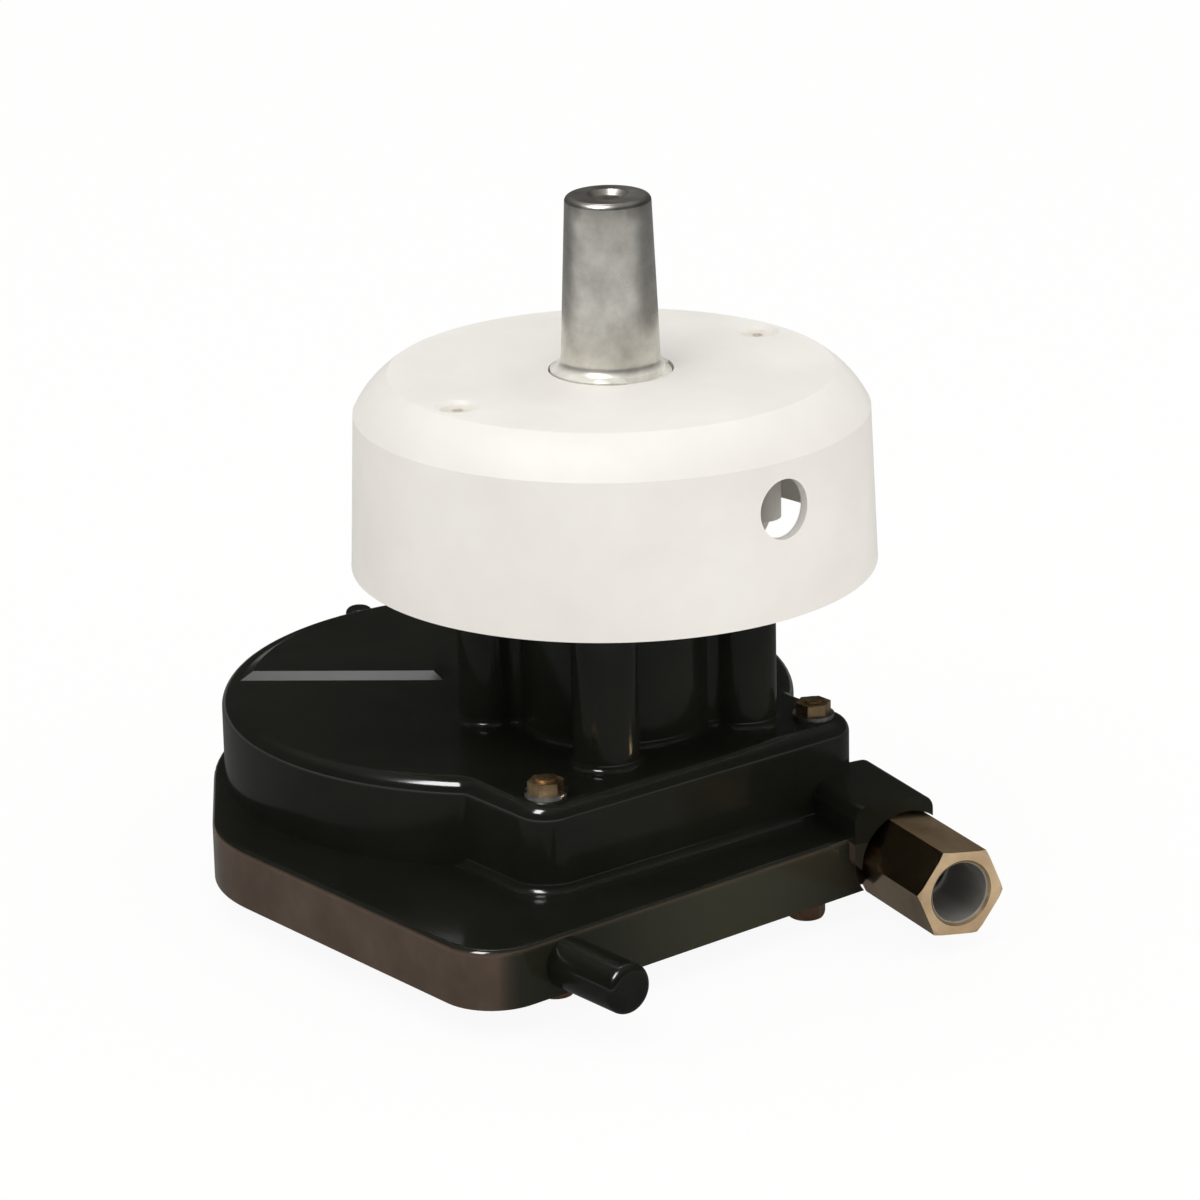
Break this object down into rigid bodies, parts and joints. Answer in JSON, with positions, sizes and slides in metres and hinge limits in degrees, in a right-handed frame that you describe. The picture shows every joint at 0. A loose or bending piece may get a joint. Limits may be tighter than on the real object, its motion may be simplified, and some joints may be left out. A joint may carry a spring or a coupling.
{
  "type": "rotary steering helm",
  "caption": "Rotary boat steering helm: tapered wheel shaft and round bezel on a black gear housing, with a hexagon cable inlet and a capped outlet.",
  "frame": {"origin": "on the wheel shaft's axis in the plane of the dashboard, where the bezel's rim and the neck's columns end", "axes": "+Z along the shaft towards the wheel, +X the way the steering cable comes out, +Y to the side of the cable's inlet"},
  "size_m": [0.2303, 0.1688, 0.1843],
  "materials": {
    "bezel_plastic": "satin",
    "stainless_steel": "satin",
    "shaft_steel": "turned, zinc plated",
    "key_steel": "bright",
    "black_casting": "gloss",
    "bronze": "satin",
    "seal_rubber": "matt",
    "spring_steel": "satin",
    "gear_steel": "machined",
    "drum_casting": "as cast",
    "guide_plastic": "matt",
    "yellow_zinc_bolt": "yellow plated",
    "zinc_washer": "bright plated",
    "cover_steel": "gloss",
    "dark_zinc_screw": "brown plated",
    "inlet_chrome": "polished",
    "cap_plastic": "gloss"
  },
  "bodies": {
    "housing": {"housing": "black_casting", "bezel": "bezel_plastic", "bezel_screws": "stainless_steel", "upper_bushing": "bronze", "lower_bushing": "bronze", "shaft_seal": "seal_rubber", "thrust_washer": "bronze", "drum_post": "gear_steel", "drum_top_washer": "guide_plastic", "drum_bottom_washer": "guide_plastic", "drum_circlip": "spring_steel", "through_bolts": "yellow_zinc_bolt", "bolt_washers": "zinc_washer", "bolt_nuts": "yellow_zinc_bolt", "base_cover": "cover_steel", "gasket": "seal_rubber", "base_screws": "dark_zinc_screw", "inlet_nut": "inlet_chrome", "inlet_nipple": "gear_steel", "outlet_tube": "stainless_steel", "outlet_cap": "cap_plastic", "cable_guide": "guide_plastic"},
    "drum": {"cable_drum": "drum_casting", "drum_bushing": "bronze"},
    "shaft": {"input_shaft": "shaft_steel", "wheel_key": "key_steel", "pinion": "gear_steel", "pinion_key": "key_steel", "pinion_circlip": "spring_steel", "shaft_circlip": "spring_steel"}
  },
  "joints": [
    {"name": "drum_spin", "type": "hinge", "parent": "housing", "child": "drum", "pos_m": [-0.04192, -0.0026, 0], "axis": [0, 0, 1], "range_deg": [-101, 101]},
    {"name": "shaft_spin", "type": "hinge", "parent": "housing", "child": "shaft", "pos_m": [0, 0, 0], "axis": [0, 0, 1], "range_deg": [-505.5, 505.5]}
  ],
  "couplings": [
    {"joint": "shaft_spin", "follows": "drum_spin", "ratio": 5}
  ]
}
